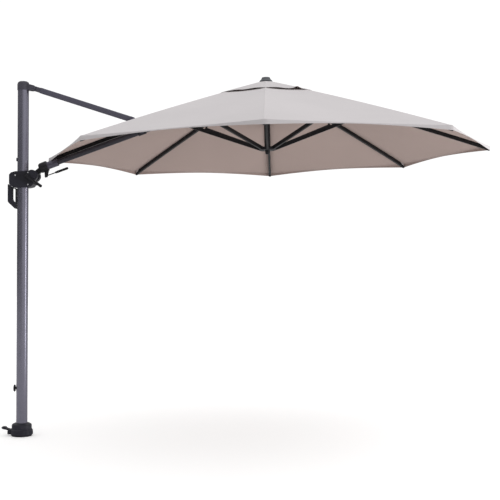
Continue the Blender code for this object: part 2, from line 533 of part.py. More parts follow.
def sheet_solid(name, rows, slot):
    """A closed thin sheet from rows of top points. Each point carries its own underside."""
    across, down = len(rows[0]), len(rows)
    top = [pair[0] for row in rows for pair in row]
    under = [pair[1] for row in rows for pair in row]
    total = len(top)
    faces = []
    for i in range(down - 1):
        for j in range(across - 1):
            a = i * across + j
            quad = (a, a + 1, a + across + 1, a + across)
            faces.append(quad)
            faces.append(tuple(v + total for v in reversed(quad)))
    rim = [j for j in range(across)] + [i * across + across - 1 for i in range(1, down)]
    rim += [(down - 1) * across + j for j in range(across - 2, -1, -1)]
    rim += [i * across for i in range(down - 2, 0, -1)]
    for here, there in zip(rim, rim[1:] + rim[:1]):
        faces.append((here, here + total, there + total, there))
    return make_object(name, top + under, faces, slot)


def gore_point(azimuth, share, radius, drop):
    """A point on the fabric: share runs from -1 to 1, and both ends are half way to the next ribs."""
    spread = abs(share)
    side = 1 if share >= 0 else -1
    r = radius - HEM_RISE * (radius / CORNER_R) ** 6 * spread * (2 - spread)
    out = r * (1 - spread * math.sin(HALF_GORE) ** 2)
    across = side * r * spread * math.sin(HALF_GORE) * math.cos(HALF_GORE)
    if spread == 1:
        out += SECTOR_GAP * math.sin(HALF_GORE)
        across -= side * SECTOR_GAP * math.cos(HALF_GORE)
    sag = GORE_SAG * math.sin(math.pi * min(r / CORNER_R, 1)) + HEM_SAG * (r / CORNER_R) ** 4
    sag *= spread * (2 - spread)
    return canopy_point(azimuth, out, fabric_height(r) - sag - drop, across)


def build_sector(number):
    """One eighth of the canopy fabric, over rib number + 1. The strut passes through a slit in one of them."""
    azimuth, steps = GORE * number, 8
    rows = []
    for i in range(steps + 1):
        radius = VENT_HOLE_R + (CORNER_R - VENT_HOLE_R) * i / steps
        shares = [2 * j / steps - 1 for j in range(steps + 1)]
        rows.append([[gore_point(azimuth, share, radius, drop) for drop in (0, FABRIC_T)] for share in shares])
    sector = sheet_solid(f"canopy_sector_{number + 1}", rows, "canopy_fabric")
    if azimuth == 180:
        cut(sector, box("strut_slit", SLIT_LOW, SLIT_HIGH))


def vent_height(radius):
    """Flat under the finial, then the height of the canopy fabric and a little over it."""
    shoulder = fabric_height(max(radius, VENT_SHOULDER_R)) + VENT_LIFT
    return min(shoulder, VENT_TOP_H)


def build_vent_cap():
    """A small octagonal roof over the hole in the middle of the canopy, open in the middle for the finial."""
    points, rings = [], []
    for drop in (0, FABRIC_T):
        for radius in VENT_RINGS:
            ring = []
            for step in range(2 * SECTORS):
                near = radius if step % 2 == 0 else radius * math.cos(HALF_GORE)
                ring.append(len(points))
                points.append(canopy_point(GORE / 2 * step, near, vent_height(radius) - drop))
            rings.append(ring)
    count = len(VENT_RINGS)
    order = rings[:count] + rings[:count - 1:-1]
    faces = []
    for ring, after in zip(order, order[1:] + order[:1]):
        for i in range(2 * SECTORS):
            j = (i + 1) % (2 * SECTORS)
            faces.append((ring[i], ring[j], after[j], after[i]))
    make_object("vent_cap", points, faces, "canopy_fabric")


def hang_on(axis_name, point, *names):
    """Parents moving pieces to an empty on their joint's axis, without moving them."""
    empty = bpy.data.objects.new(axis_name, None)
    empty.location = point
    bpy.context.scene.collection.objects.link(empty)
    for name in names:
        piece = bpy.data.objects[name]
        piece.data.transform(Matrix.Translation(-Vector(point)))
        piece.parent = empty


def place_on_joints():
    hang_on("pedal_axis", side_view(*PEDAL_PIVOT, 0), "foot_pedal")
    hang_on("mast_axis", (0, 0, MAST_Z0), "mast_tube", "foot_dome", "mast_cap", "mast_stop", "top_pin")
    hang_on("clamp_axis", (CLAMP_X, 0, CLAMP_Z), "clamp_screw")
    hang_on("strut_axis", side_view(*TOP_PIVOT, 0), "strut_tube", "strut_eye", "strut_fork")
    outer_boom = ("boom_knuckle", "boom_sleeve", "boom_outer_tube", "strut_clamp")
    hang_on("boom_pin_axis", side_view(*STRUT_PIN, 0), *outer_boom)
    screws = [f"carriage_screw_{number}" for number in range(len(CARRIAGE_SCREWS))]
    hang_on("carriage_axis", side_view(*CARRIAGE_PIVOT, 0), "carriage_front", "carriage_rear", "grip_handle", *screws)
    hang_on("trigger_axis", side_view(*TRIGGER_PIVOT, 0), "grip_trigger")
    hang_on("crank_axis", side_view(*CRANK_AXIS, CRANK_Y), "crank_arm")
    hang_on("handle_axis", side_view(*CRANK_END, CRANK_GRIP_Y), "crank_handle")
    hang_on("lever_axis", side_view(*LEVER_PIVOT, 0), "tilt_lever")
    hang_on("roll_axis", boom_at(BOOM_POINT[0]), "boom_inner_tube", "boom_end")
    hub = ("crown_hub", "hub_bracket", "level_pin", "centre_pole", "finial", "vent_cap")
    hang_on("level_axis", side_view(*LEVEL_PIVOT, 0), *hub)
    hang_on("runner_axis", canopy_point(0, HUB_PIVOT_R, RUNNER_H), "runner")
    for number in range(SECTORS):
        place, name = beside_rib(number), number + 1
        hang_on(f"rib_axis_{name}", place(HUB_PIVOT_R, HUB_PIVOT_H, 0), f"rib_{name}", f"canopy_sector_{name}")
        hang_on(f"brace_axis_{name}", place(JOINT_R, JOINT_H, 0), f"brace_{name}")


def main():
    clear_scene()
    build_foot()
    build_pedal()
    build_mast()
    build_strut()
    build_boom_carrier()
    build_boom()
    build_carriage()
    build_grip()
    build_crank()
    build_tilt_lever()
    build_hub()
    for number in range(SECTORS):
        build_rib(number)
        build_brace(number)
        build_sector(number)
    build_runner()
    build_vent_cap()
    place_on_joints()


main()
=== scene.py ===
"""Looks for the cantilever parasol: procedural materials on the CAD frame, and a sewn cloth canopy."""

import json
import math

import bmesh
import bpy
from mathutils import Matrix, Vector


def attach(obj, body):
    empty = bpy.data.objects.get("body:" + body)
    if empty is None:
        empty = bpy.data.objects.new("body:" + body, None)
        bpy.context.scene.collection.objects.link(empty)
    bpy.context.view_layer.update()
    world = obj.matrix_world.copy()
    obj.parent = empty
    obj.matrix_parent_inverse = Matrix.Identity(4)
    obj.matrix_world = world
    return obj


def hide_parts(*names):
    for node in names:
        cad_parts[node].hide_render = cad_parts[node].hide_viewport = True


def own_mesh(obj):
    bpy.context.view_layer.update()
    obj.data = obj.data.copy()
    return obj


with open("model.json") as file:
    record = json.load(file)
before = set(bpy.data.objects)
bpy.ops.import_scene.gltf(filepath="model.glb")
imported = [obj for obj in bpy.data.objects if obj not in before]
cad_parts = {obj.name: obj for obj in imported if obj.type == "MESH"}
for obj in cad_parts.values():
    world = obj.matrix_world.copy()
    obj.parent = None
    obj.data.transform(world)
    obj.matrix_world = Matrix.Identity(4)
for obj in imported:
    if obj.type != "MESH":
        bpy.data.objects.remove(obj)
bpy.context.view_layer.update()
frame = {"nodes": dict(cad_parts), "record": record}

# All lengths are in metres. Azimuths are in degrees about the canopy's middle, with 0 away from the mast.
# Radii run out from the middle, and heights run up from the plane of the canopy's corners.

# The canopy's place, and the height of its cloth over the radius
CANOPY_CENTRE = Vector((1.9553, 0.056, 2.237))
CANOPY_LEAN = math.radians(1.47)
LEAN = Matrix.Rotation(-CANOPY_LEAN, 3, "Y")
UP = LEAN @ Vector((0, 0, 1))
CORNER_R, APEX_H = 1.76, 0.597
SLOPE_1, SLOPE_2 = 0.300, 0.0146
SECTORS, GORE = 8, 45
HALF_GORE = math.radians(GORE / 2)

# The ribs under it, as the CAD has them
RIB_UNDER, RIB_W, RIB_H, RIB_END_R = 0.0045, 0.020, 0.030, 1.747

# Cloth: thickness, the rise of its edge between ribs, its sag, and the seam over each rib
CLOTH_T = 0.0011
HEM_RISE, GORE_SAG, HEM_SAG = 0.018, 0.010, 0.007
SEAM_HALF, SEAM_RISE = 0.0070, 0.0012
SEAM_STEPS, EVEN_STEPS, SECTOR_ROWS = (0.0, 0.45, 0.8, 1.0, 1.25), 14, 44
SLIT_AZIMUTH = 180
SLIT_LOW, SLIT_HIGH = Vector((0.830, -0.0420, 2.35)), Vector((1.005, 0.0420, 2.60))
GATHER_R, GATHER_KEEP = 0.5, 0.2

# Hem tape, the skirt that hangs below it, and the pockets and plugs at the ends of the ribs
HEM_DEPTH, HEM_OVER, HEM_STEPS = 0.022, 0.0006, 20
HEM_LIFTS = (0.0006, 0.0016, 0.0015, 0.0018, 0.0012)
SKIRT_MOST, SKIRT_LEAST, SKIRT_TAPER = 0.029, 0.0035, 1.7
SKIRT_TOP, SKIRT_OUTER, SKIRT_INNER = 0.0005, 0.0022, 0.0002
SKIRT_SWELL, SKIRT_FOLD = 0.0012, 0.0006
SKIRT_ROWS, SKIRT_STEPS = 6, 24
POCKET_LENGTH, POCKET_DEPTH, POCKET_T, POCKET_GAP = 0.045, 0.50, 0.0012, 0.0008
POCKET_MOUTH, POCKET_CORNER, POCKET_LEAST, POCKET_BELOW = 0.006, 0.003, 0.001, 0.0004
PLUG_HALF = (0.0175, 0.0107, 0.0075)
PLUG_BACK, PLUG_UP = 0.004, 0.006

# Vent roof: its edges, the flat under the finial, its hem's arches and the one pucker in the hem
VENT_HOLE_R, VENT_INNER_R, VENT_R = 0.20, 0.0225, 0.45
VENT_TOP_H, VENT_SHOULDER_R, VENT_LIFT = 0.5895, 0.0525, 0.0045
VENT_ROUND, VENT_ARCH = 0.05, 0.006
VENT_SEAM_HALF, VENT_SEAM_RISE = 0.007, 0.0010
PUCKER_AZIMUTH, PUCKER_HALF, PUCKER_LIFT = 304.6, 5.0, 0.016
PUCKER_STEPS = (-5, -2.5, -1, 1, 2.5, 5)
VENT_RADII = (VENT_INNER_R, 0.036, VENT_SHOULDER_R, 0.07, 0.10, 0.14, 0.18, 0.23, 0.28, 0.33, 0.37, 0.40,
              0.425, 0.438, VENT_R)
VENT_TURNS = (0, 0.7, 1.6, 3, 6, 10, 15, 20, 25, 30, 35, 39, 42, 43.4, 44.3)
VENT_TAPE_RINGS, VENT_DOUBLED_R, VENT_EASE = 2, 0.43, 1.05

# Finishes: the weave, the pointiness at which an edge is worn, and the shading of the CAD bodies' edges
WEAVE_SCALE, SLUB_SCALE, SLUB_SHARE = 420.0, 38.0, 2.5
WEAR_START, WEAR_FULL, WEAR_MOST = 0.52, 0.60, 0.55
HARD_SHINE, FABRIC_SHINE, FABRIC_SHEEN = 0.3, 0.2, 0.15
CRISP_ANGLE, WELD_GAP = 30, 0.00001
# The outer boom tube takes a darker copy of the frame coat: painted shade, for the shadow the canopy casts
# on it.
SLOTS_BY_LOOK = {"boom_outer_tube": "boom_painted_shade", "mast_cap": "cap_mould", "strut_eye": "cap_mould"}

# Studio: the floor, and a world that is bright above and brighter on one side than on the other
FLOOR_HALF, FLOOR_Z, FLOOR_GLOW, FLOOR_BOUNCE = 30.0, -0.0005, 0.30, 0.70
SIDE_DARK, SIDE_BRIGHT, SIDE_AZIMUTH = 0.04, 0.85, -20
SIDE_START, SIDE_END = 0.15, 0.75
TOP_LIGHT, BACKDROP = 1.60, 1.05
SOFTBOX_AT, SOFTBOX_TOWARDS = (5.8, -0.7, 1.3), (0, 0, 1.4)
SOFTBOX_SIZE, SOFTBOX_POWER = (0.5, 2.4), 40

# Camera
CAMERA_AT = Vector((2.0496, -7.507, 1.3832))
CAMERA_YAW, CAMERA_PITCH, CAMERA_ROLL = math.radians(-1.7775), math.radians(0.7397), math.radians(0.0986)
CAMERA_LENS, SENSOR = 68.23, 36.0


# ---------------------------------------------------------------- materials

def new_material(name, colour, roughness, metallic=0.0):
    """A material with its node tree and its one shader."""
    material = bpy.data.materials.new(name)
    material.use_nodes = True
    shader = material.node_tree.nodes["Principled BSDF"]
    shader.inputs["Base Color"].default_value = (*colour, 1)
    shader.inputs["Roughness"].default_value = roughness
    shader.inputs["Metallic"].default_value = metallic
    return material, material.node_tree, shader


def add(tree, kind, **values):
    """A new node, each value set on the input of that name, or else as a property."""
    node = tree.nodes.new(kind)
    for key, value in values.items():
        if key in node.inputs:
            node.inputs[key].default_value = value
        else:
            setattr(node, key, value)
    return node


def place_of(tree):
    return add(tree, "ShaderNodeNewGeometry").outputs["Position"]


def vary_colour(tree, shader, dark, light, scale, detail=4.0):
    """A slow, slight change of colour over the surface."""
    noise = add(tree, "ShaderNodeTexNoise", Scale=scale, Detail=detail)
    ramp = add(tree, "ShaderNodeValToRGB")
    ramp.color_ramp.elements[0].position, ramp.color_ramp.elements[1].position = 0.3, 0.7
    ramp.color_ramp.elements[0].color = (*dark, 1)
    ramp.color_ramp.elements[1].color = (*light, 1)
    tree.links.new(place_of(tree), noise.inputs["Vector"])
    tree.links.new(noise.outputs["Fac"], ramp.inputs["Fac"])
    tree.links.new(ramp.outputs["Color"], shader.inputs["Base Color"])
    return ramp


def vary_roughness(tree, shader, low, high, scale):
    """Patches a little smoother and a little rougher."""
    noise = add(tree, "ShaderNodeTexNoise", Scale=scale, Detail=3.0)
    spread = add(tree, "ShaderNodeMapRange")
    spread.inputs["To Min"].default_value = low
    spread.inputs["To Max"].default_value = high
    tree.links.new(place_of(tree), noise.inputs["Vector"])
    tree.links.new(noise.outputs["Fac"], spread.inputs["Value"])
    tree.links.new(spread.outputs["Result"], shader.inputs["Roughness"])


def grain_bump(tree, shader, scale, strength, distance):
    """The fine texture of the surface."""
    noise = add(tree, "ShaderNodeTexNoise", Scale=scale, Detail=2.0)
    bump = add(tree, "ShaderNodeBump", Strength=strength, Distance=distance)
    tree.links.new(place_of(tree), noise.inputs["Vector"])
    tree.links.new(noise.outputs["Fac"], bump.inputs["Height"])
    tree.links.new(bump.outputs["Normal"], shader.inputs["Normal"])


def worn_edges(tree, shader, ramp, worn):
    """Edges rubbed a little lighter, by the surface's pointiness."""
    point = add(tree, "ShaderNodeNewGeometry").outputs["Pointiness"]
    edge = add(tree, "ShaderNodeMapRange")
    edge.inputs["From Min"].default_value = WEAR_START
    edge.inputs["From Max"].default_value = WEAR_FULL
    edge.inputs["To Max"].default_value = WEAR_MOST
    mix = add(tree, "ShaderNodeMix", data_type="RGBA")
    tree.links.new(point, edge.inputs["Value"])
    tree.links.new(edge.outputs["Result"], mix.inputs["Factor"])
    tree.links.new(ramp.outputs["Color"], mix.inputs["A"])
    mix.inputs["B"].default_value = (*worn, 1)
    tree.links.new(mix.outputs["Result"], shader.inputs["Base Color"])


def scaled(colour, factor):
    return tuple(min(1.0, c * factor) for c in colour)


def powder_coat(name, colour, roughness, metallic=0.0):
    """Painted tube: fine grain, edges rubbed lighter."""
    material, tree, shader = new_material(name, colour, roughness, metallic)
    ramp = vary_colour(tree, shader, scaled(colour, 0.92), scaled(colour, 1.08), scale=6.0)
    worn_edges(tree, shader, ramp, scaled(colour, 2.2))
    vary_roughness(tree, shader, roughness - 0.05, roughness + 0.06, scale=9.0)
    grain_bump(tree, shader, scale=900.0, strength=0.10, distance=0.0002)
    shader.inputs["Specular IOR Level"].default_value = HARD_SHINE
    return material


def moulded(name, colour, roughness):
    """Moulded plastic with a fine leathery texture."""
    material, tree, shader = new_material(name, colour, roughness)
    ramp = vary_colour(tree, shader, scaled(colour, 0.90), scaled(colour, 1.12), scale=14.0)
    worn_edges(tree, shader, ramp, scaled(colour, 2.6))
    vary_roughness(tree, shader, roughness - 0.06, roughness + 0.08, scale=20.0)
    grain_bump(tree, shader, scale=1400.0, strength=0.22, distance=0.00025)
    shader.inputs["Specular IOR Level"].default_value = HARD_SHINE
    return material


def plated_steel(name, colour):
    """Bright plated screw heads, smeared by handling."""
    material, tree, shader = new_material(name, colour, roughness=0.32, metallic=0.45)
    vary_colour(tree, shader, scaled(colour, 0.93), scaled(colour, 1.05), scale=30.0)
    vary_roughness(tree, shader, 0.2, 0.36, scale=60.0)
    grain_bump(tree, shader, scale=2500.0, strength=0.05, distance=0.0001)
    return material


def woven(name, colour, under=False):
    """A coated plain weave: fine crossed threads, slubs, and on the outer side a soft sheen."""
    material, tree, shader = new_material(name, colour, roughness=0.86)
    vary_colour(tree, shader, scaled(colour, 0.965), scaled(colour, 1.02), scale=1.6, detail=6.0)
    heights = []
    for axis in ("X", "Y"):
        thread = add(tree, "ShaderNodeTexWave", Scale=WEAVE_SCALE, Distortion=0.35, Detail=1.0)
        thread.bands_direction = axis
        tree.links.new(place_of(tree), thread.inputs["Vector"])
        heights.append(thread.outputs["Fac"])
    weave = add(tree, "ShaderNodeMath", operation="MULTIPLY")
    tree.links.new(heights[0], weave.inputs[0])
    tree.links.new(heights[1], weave.inputs[1])
    slub = add(tree, "ShaderNodeTexNoise", Scale=SLUB_SCALE, Detail=5.0)
    tree.links.new(place_of(tree), slub.inputs["Vector"])
    total = add(tree, "ShaderNodeMath", operation="MULTIPLY_ADD")
    total.inputs[1].default_value = SLUB_SHARE
    tree.links.new(slub.outputs["Fac"], total.inputs[0])
    tree.links.new(weave.outputs[0], total.inputs[2])
    bump = add(tree, "ShaderNodeBump", Strength=0.18, Distance=0.0006)
    tree.links.new(total.outputs[0], bump.inputs["Height"])
    tree.links.new(bump.outputs["Normal"], shader.inputs["Normal"])
    shader.inputs["Sheen Weight"].default_value = 0.0 if under else FABRIC_SHEEN
    shader.inputs["Sheen Roughness"].default_value = 0.5
    shader.inputs["Specular IOR Level"].default_value = FABRIC_SHINE
    return material


def make_materials():
    """Every material by the slot it is for, then those of the cloth's tapes. Colours are linear RGB."""
    return {
        "mast_metal": powder_coat("mast_coat", (0.150, 0.146, 0.182), 0.24, metallic=0.85),
        "frame_metal": powder_coat("frame_coat", (0.062, 0.059, 0.080), 0.45),
        # Painted shade: the frame coat darkened for the outer boom tube, which lies in the canopy's shadow.
        "boom_painted_shade": powder_coat("boom_painted_shade", (0.026, 0.025, 0.032), 0.45),
        "cap_mould": moulded("cap_mould", (0.045, 0.043, 0.055), 0.42),
        "rib_metal": powder_coat("rib_coat", (0.0060, 0.0060, 0.0072), 0.45),
        "housing_plastic": moulded("housing_mould", (0.012, 0.0115, 0.017), 0.45),
        "hub_plastic": moulded("hub_mould", (0.009, 0.0085, 0.011), 0.45),
        "foot_plastic": moulded("foot_mould", (0.012, 0.0115, 0.018), 0.45),
        "finial_plastic": moulded("finial_mould", (0.105, 0.110, 0.120), 0.60),
        "bright_steel": plated_steel("steel_plate", (0.78, 0.78, 0.80)),
        "canopy_fabric": woven("canopy_weave", (0.69, 0.655, 0.665)),
        # Painted shade: the same cloth as the top, made darker and warmer for the shade and the light
        # through the cloth under the canopy.
        "canopy_under_painted_shade": woven("canopy_under_painted_shade_weave", (0.52, 0.41, 0.375), under=True),
        "seam_tape": woven("seam_tape_weave", (0.67, 0.635, 0.645)),
        # Painted shade: the seam tape made darker and warmer in the same way, for the hidden side of the hem
        # and skirt.
        "under_tape_painted_shade": woven("under_tape_painted_shade_weave", (0.48, 0.38, 0.35), under=True),
        "tip_rubber": moulded("tip_rubber", (0.010, 0.010, 0.012), 0.6),
    }


# ---------------------------------------------------------------- mesh helpers

def link_mesh(name, points, faces, materials, pick=None, smooth=True):
    mesh = bpy.data.meshes.new(name)
    mesh.from_pydata([tuple(p) for p in points], [], faces)
    for material in materials:
        mesh.materials.append(material)
    for number, face in enumerate(mesh.polygons):
        face.use_smooth = smooth
        face.material_index = pick[number] if pick else 0
    mesh.update()
    obj = bpy.data.objects.new(name, mesh)
    bpy.context.scene.collection.objects.link(obj)
    return obj


def outward(obj):
    """Turns every face's normal out of the closed mesh."""
    shape = bmesh.new()
    shape.from_mesh(obj.data)
    bmesh.ops.recalc_face_normals(shape, faces=shape.faces)
    shape.to_mesh(obj.data)
    shape.free()
    return obj


def smooth_by_angle(obj, angle):
    """Smooth shading, with edges sharper than the angle kept crisp."""
    for face in obj.data.polygons:
        face.use_smooth = True
    weld = obj.modifiers.new("weld", "WELD")
    weld.merge_threshold = WELD_GAP
    split = obj.modifiers.new("crisp edges", "EDGE_SPLIT")
    split.split_angle = math.radians(angle)
    split.use_edge_sharp = False


def apply_modifiers(obj):
    bpy.context.view_layer.update()
    graph = bpy.context.evaluated_depsgraph_get()
    obj.data = bpy.data.meshes.new_from_object(obj.evaluated_get(graph))
    obj.modifiers.clear()


def sheet_solid(name, rows, materials):
    """A closed thin sheet from rows of (top, under) points. Only its underside takes the second material, a
    darker and warmer copy of the first that paints the shade under the cloth.
    """
    across, down = len(rows[0]), len(rows)
    top = [pair[0] for row in rows for pair in row]
    under = [pair[1] for row in rows for pair in row]
    total = len(top)
    faces, pick = [], []
    for i in range(down - 1):
        for j in range(across - 1):
            a = i * across + j
            quad = (a, a + 1, a + across + 1, a + across)
            faces += [quad, tuple(v + total for v in reversed(quad))]
            pick += [0, 1]
    rim = list(range(across)) + [i * across + across - 1 for i in range(1, down)]
    rim += [(down - 1) * across + j for j in range(across - 2, -1, -1)]
    rim += [i * across for i in range(down - 2, 0, -1)]
    pairs = list(zip(rim, rim[1:] + rim[:1]))
    for here, there in pairs:
        faces.append((here, here + total, there + total, there))
        pick.append(0)
    sheet = outward(link_mesh(name, top + under, faces, materials, pick))
    crisp_rim(sheet, pairs, total)
    return sheet


def crisp_rim(sheet, pairs, total):
    """Keeps the cut edge's narrow faces out of the smooth shading of the cloth."""
    crisp = {frozenset(pair) for pair in pairs} | {frozenset((a + total, b + total)) for a, b in pairs}
    for edge in sheet.data.edges:
        edge.use_edge_sharp = frozenset(edge.vertices) in crisp


def cut_box(obj, low, high):
    """Cuts the box between two corners out of the object."""
    middle, size = (low + high) / 2, high - low
    shape = bmesh.new()
    bmesh.ops.create_cube(shape, size=1.0)
    bmesh.ops.scale(shape, vec=size, verts=shape.verts)
    bmesh.ops.translate(shape, vec=middle, verts=shape.verts)
    mesh = bpy.data.meshes.new("cutter")
    shape.to_mesh(mesh)
    shape.free()
    cutter = bpy.data.objects.new("cutter", mesh)
    bpy.context.scene.collection.objects.link(cutter)
    change = obj.modifiers.new("slit", "BOOLEAN")
    change.operation = "DIFFERENCE"
    change.object = cutter
    apply_modifiers(obj)
    bpy.data.objects.remove(cutter)


# ---------------------------------------------------------------- canopy

def canopy_point(azimuth, radius, height, across=0.0):
    """A point in the world, from its azimuth, radius and height on the leaning canopy."""
    angle = math.radians(azimuth)
    flat = Vector((math.cos(angle), math.sin(angle), 0)) * radius
    flat += Vector((-math.sin(angle), math.cos(angle), 0)) * across
    flat.z = height
    return CANOPY_CENTRE + LEAN @ flat


def fabric_height(radius):
    return APEX_H - SLOPE_1 * radius - SLOPE_2 * radius * radius


def vent_height(radius):
    shoulder = fabric_height(max(radius, VENT_SHOULDER_R)) + VENT_LIFT
    return min(shoulder, VENT_TOP_H)


def gore_point(azimuth, share, radius, drop):
    """A point on the cloth: share runs from -1 to 1, half way to the next ribs on either side."""
    spread = abs(share)
    side = 1 if share >= 0 else -1
    tension = spread * (2 - spread)
    r = radius - HEM_RISE * (radius / CORNER_R) ** 6 * tension
    out = r * (1 - spread * math.sin(HALF_GORE) ** 2)
    across = side * r * spread * math.sin(HALF_GORE) * math.cos(HALF_GORE)
    sag = (GORE_SAG * math.sin(math.pi * min(r / CORNER_R, 1)) + HEM_SAG * (r / CORNER_R) ** 4) * tension
    from_rib = abs(across)
    seam = SEAM_RISE * max(0.0, 1 - (from_rib / SEAM_HALF) ** 4) if drop == 0 else 0.0
    return canopy_point(azimuth, out, fabric_height(r) - sag - drop + seam, across)


def share_steps(radius):
    """Steps across a sector: close together at the rib seam, even after it."""
    half = radius * math.sin(HALF_GORE) * math.cos(HALF_GORE)
    fine = [SEAM_HALF * n / half for n in SEAM_STEPS]
    even = [fine[-1] + (1 - fine[-1]) * i / EVEN_STEPS for i in range(1, EVEN_STEPS + 1)]
    right = fine + even
    return [-s for s in reversed(right[1:])] + right


def build_sector(number, materials):
    """One eighth of the cloth, centred on its rib. The one towards the mast has a slit for the strut."""
    azimuth = GORE * number
    rows = []
    for i in range(SECTOR_ROWS + 1):
        radius = VENT_HOLE_R + (CORNER_R - VENT_HOLE_R) * i / SECTOR_ROWS
        steps = share_steps(radius)
        rows.append([[gore_point(azimuth, share, radius, drop) for drop in (0, CLOTH_T)] for share in steps])
    name = f"cloth_sector_{number + 1}"
    cloth = sheet_solid(name, rows, [materials["canopy_fabric"], materials["canopy_under_painted_shade"]])
    if azimuth == SLIT_AZIMUTH:
        cut_box(cloth, SLIT_LOW, SLIT_HIGH)
    finish_cloth(cloth, number, f"canopy_sector_{number + 1}")
    return cloth


def finish_cloth(piece, number, *nodes):
    """The piece rides on its rib, and the CAD nodes it stands in for are hidden."""
    if nodes:
        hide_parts(*nodes)
    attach(piece, f"rib_{number + 1}")
    anchor = canopy_point(GORE * number, GATHER_R, fabric_height(GATHER_R))
    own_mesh(piece)


def build_hem(number, materials):
    """The folded hem: a double strip under and over the cloth's edge, with its stitched ridge."""
    azimuth = GORE * number
    rows = []
    last = len(HEM_LIFTS) - 1
    for i, lift in enumerate(HEM_LIFTS):
        radius = CORNER_R + HEM_OVER - HEM_DEPTH * (1 - i / last)
        row = []
        for j in range(2 * HEM_STEPS + 1):
            share = -1 + j / HEM_STEPS
            over = gore_point(azimuth, share, radius, 0) + UP * lift
            beneath = gore_point(azimuth, share, radius, CLOTH_T) - UP * lift
            row.append((over, beneath))
        rows.append(row)
    hem = sheet_solid(f"hem_{number + 1}", rows, [materials["seam_tape"], materials["under_tape_painted_shade"]])
    finish_cloth(hem, number)
    return hem


def skirt_depth(share):
    """How far the cloth hangs below the hem fold: deepest over the rib's end, shallow between the ribs."""
    return SKIRT_LEAST + (SKIRT_MOST - SKIRT_LEAST) * (1 - abs(share)) ** SKIRT_TAPER


def build_skirt(number, materials):
    """The strip of cloth that hangs from the hem and covers the ends of the ribs."""
    azimuth = GORE * number
    rows = []
    for i in range(SKIRT_ROWS + 1):
        fold = SKIRT_FOLD if i >= SKIRT_ROWS - 1 else 0
        swell = SKIRT_SWELL * math.sin(math.pi * i / SKIRT_ROWS) + fold
        row = []
        for j in range(2 * SKIRT_STEPS + 1):
            share = -1 + j / SKIRT_STEPS
            drop = SKIRT_TOP + skirt_depth(share) * i / SKIRT_ROWS
            row.append((gore_point(azimuth, share, CORNER_R + SKIRT_OUTER + swell, drop),
                        gore_point(azimuth, share, CORNER_R + SKIRT_INNER + swell, drop)))
        rows.append(row)
    skirt = sheet_solid(f"hem_skirt_{number + 1}", rows, [materials["seam_tape"], materials["under_tape_painted_shade"]])
    finish_cloth(skirt, number)
    return skirt


def pocket_path():
    """The pocket's wall round the rib's end, as (radius, side, depth below the cloth)."""
    half, low = RIB_W / 2 + POCKET_GAP, RIB_UNDER + RIB_H * POCKET_DEPTH
    path = [
        (RIB_END_R - POCKET_LENGTH, -half, POCKET_MOUTH),
        (RIB_END_R - 0.6 * POCKET_LENGTH, -half, 0.8 * low),
        (RIB_END_R - 0.002, -half, low),
        (RIB_END_R + POCKET_T, -half + POCKET_CORNER, low),
    ]
    return path + [(r, -across, drop) for r, across, drop in reversed(path)]


def pocket_ring(azimuth, r, across, drop):
    """The wall's four corners at one place on its path: inner top, outer top, outer foot, inner foot."""
    outer = across + POCKET_T * math.copysign(1, across)
    outer_r = r + (POCKET_T if r > RIB_END_R else 0)
    cloth = fabric_height(min(r, CORNER_R))
    top = cloth - CLOTH_T - POCKET_BELOW
    foot = min(top - POCKET_LEAST, cloth - drop)
    return [
        canopy_point(azimuth, r, top, across),
        canopy_point(azimuth, outer_r, top, outer),
        canopy_point(azimuth, outer_r, foot, outer),
        canopy_point(azimuth, r, foot, across),
    ]


def build_pocket(number, materials):
    """The cloth pocket that holds the rib's end: two sides that taper away along the rib, and an end."""
    path = pocket_path()
    points = [point for place in path for point in pocket_ring(GORE * number, *place)]
    faces = []
    for i in range(len(path) - 1):
        for j in range(4):
            faces.append((4 * i + j, 4 * i + (j + 1) % 4, 4 * i + 4 + (j + 1) % 4, 4 * i + 4 + j))
    faces += [(0, 1, 2, 3), tuple(range(len(points) - 1, len(points) - 5, -1))]
    name = f"rib_pocket_{number + 1}"
    pocket = outward(link_mesh(name, points, faces, [materials["seam_tape"]], smooth=False))
    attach(pocket, f"rib_{number + 1}")
    return pocket


def rounded_block(name, place, half, material):
    """A block with well rounded edges, as moulded plugs have."""
    shape = bmesh.new()
    bmesh.ops.create_uvsphere(shape, u_segments=24, v_segments=14, radius=1.0)
    for vertex in shape.verts:
        u, v, w = (math.copysign(math.sqrt(abs(c)), c) * size for c, size in zip(vertex.co, half))
        vertex.co = place(u, v, w)
    mesh = bpy.data.meshes.new(name)
    bmesh.ops.recalc_face_normals(shape, faces=shape.faces)
    shape.to_mesh(mesh)
    shape.free()
    mesh.materials.append(material)
    for face in mesh.polygons:
        face.use_smooth = True
    block = bpy.data.objects.new(name, mesh)
    bpy.context.scene.collection.objects.link(block)
    return block


def build_tip(number, materials):
    """A black plug in the rib's end, its lower edge level with the rib's."""
    azimuth = GORE * number
    level = fabric_height(RIB_END_R) - RIB_UNDER - RIB_H + PLUG_UP
    slope = SLOPE_1 + 2 * SLOPE_2 * RIB_END_R

    def place(out, across, up):
        return canopy_point(azimuth, RIB_END_R - PLUG_BACK + out, level + up - slope * out, across)

    tip = rounded_block(f"rib_plug_{number + 1}", place, PLUG_HALF, materials["tip_rubber"])
    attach(tip, f"rib_{number + 1}")
    return tip


def vent_hem_lift(azimuth):
    """How far the vent roof's hem stands up: a low arch between corners, and one pucker beside a corner."""
    arch = GORE / 2
    step = 1 - abs((azimuth % arch) - arch / 2) / (arch / 2)
    away = abs((azimuth - PUCKER_AZIMUTH + 180) % 360 - 180) / PUCKER_HALF
    return VENT_ARCH * (1 - (1 - step) ** 2) + PUCKER_LIFT * max(0.0, 1 - away)


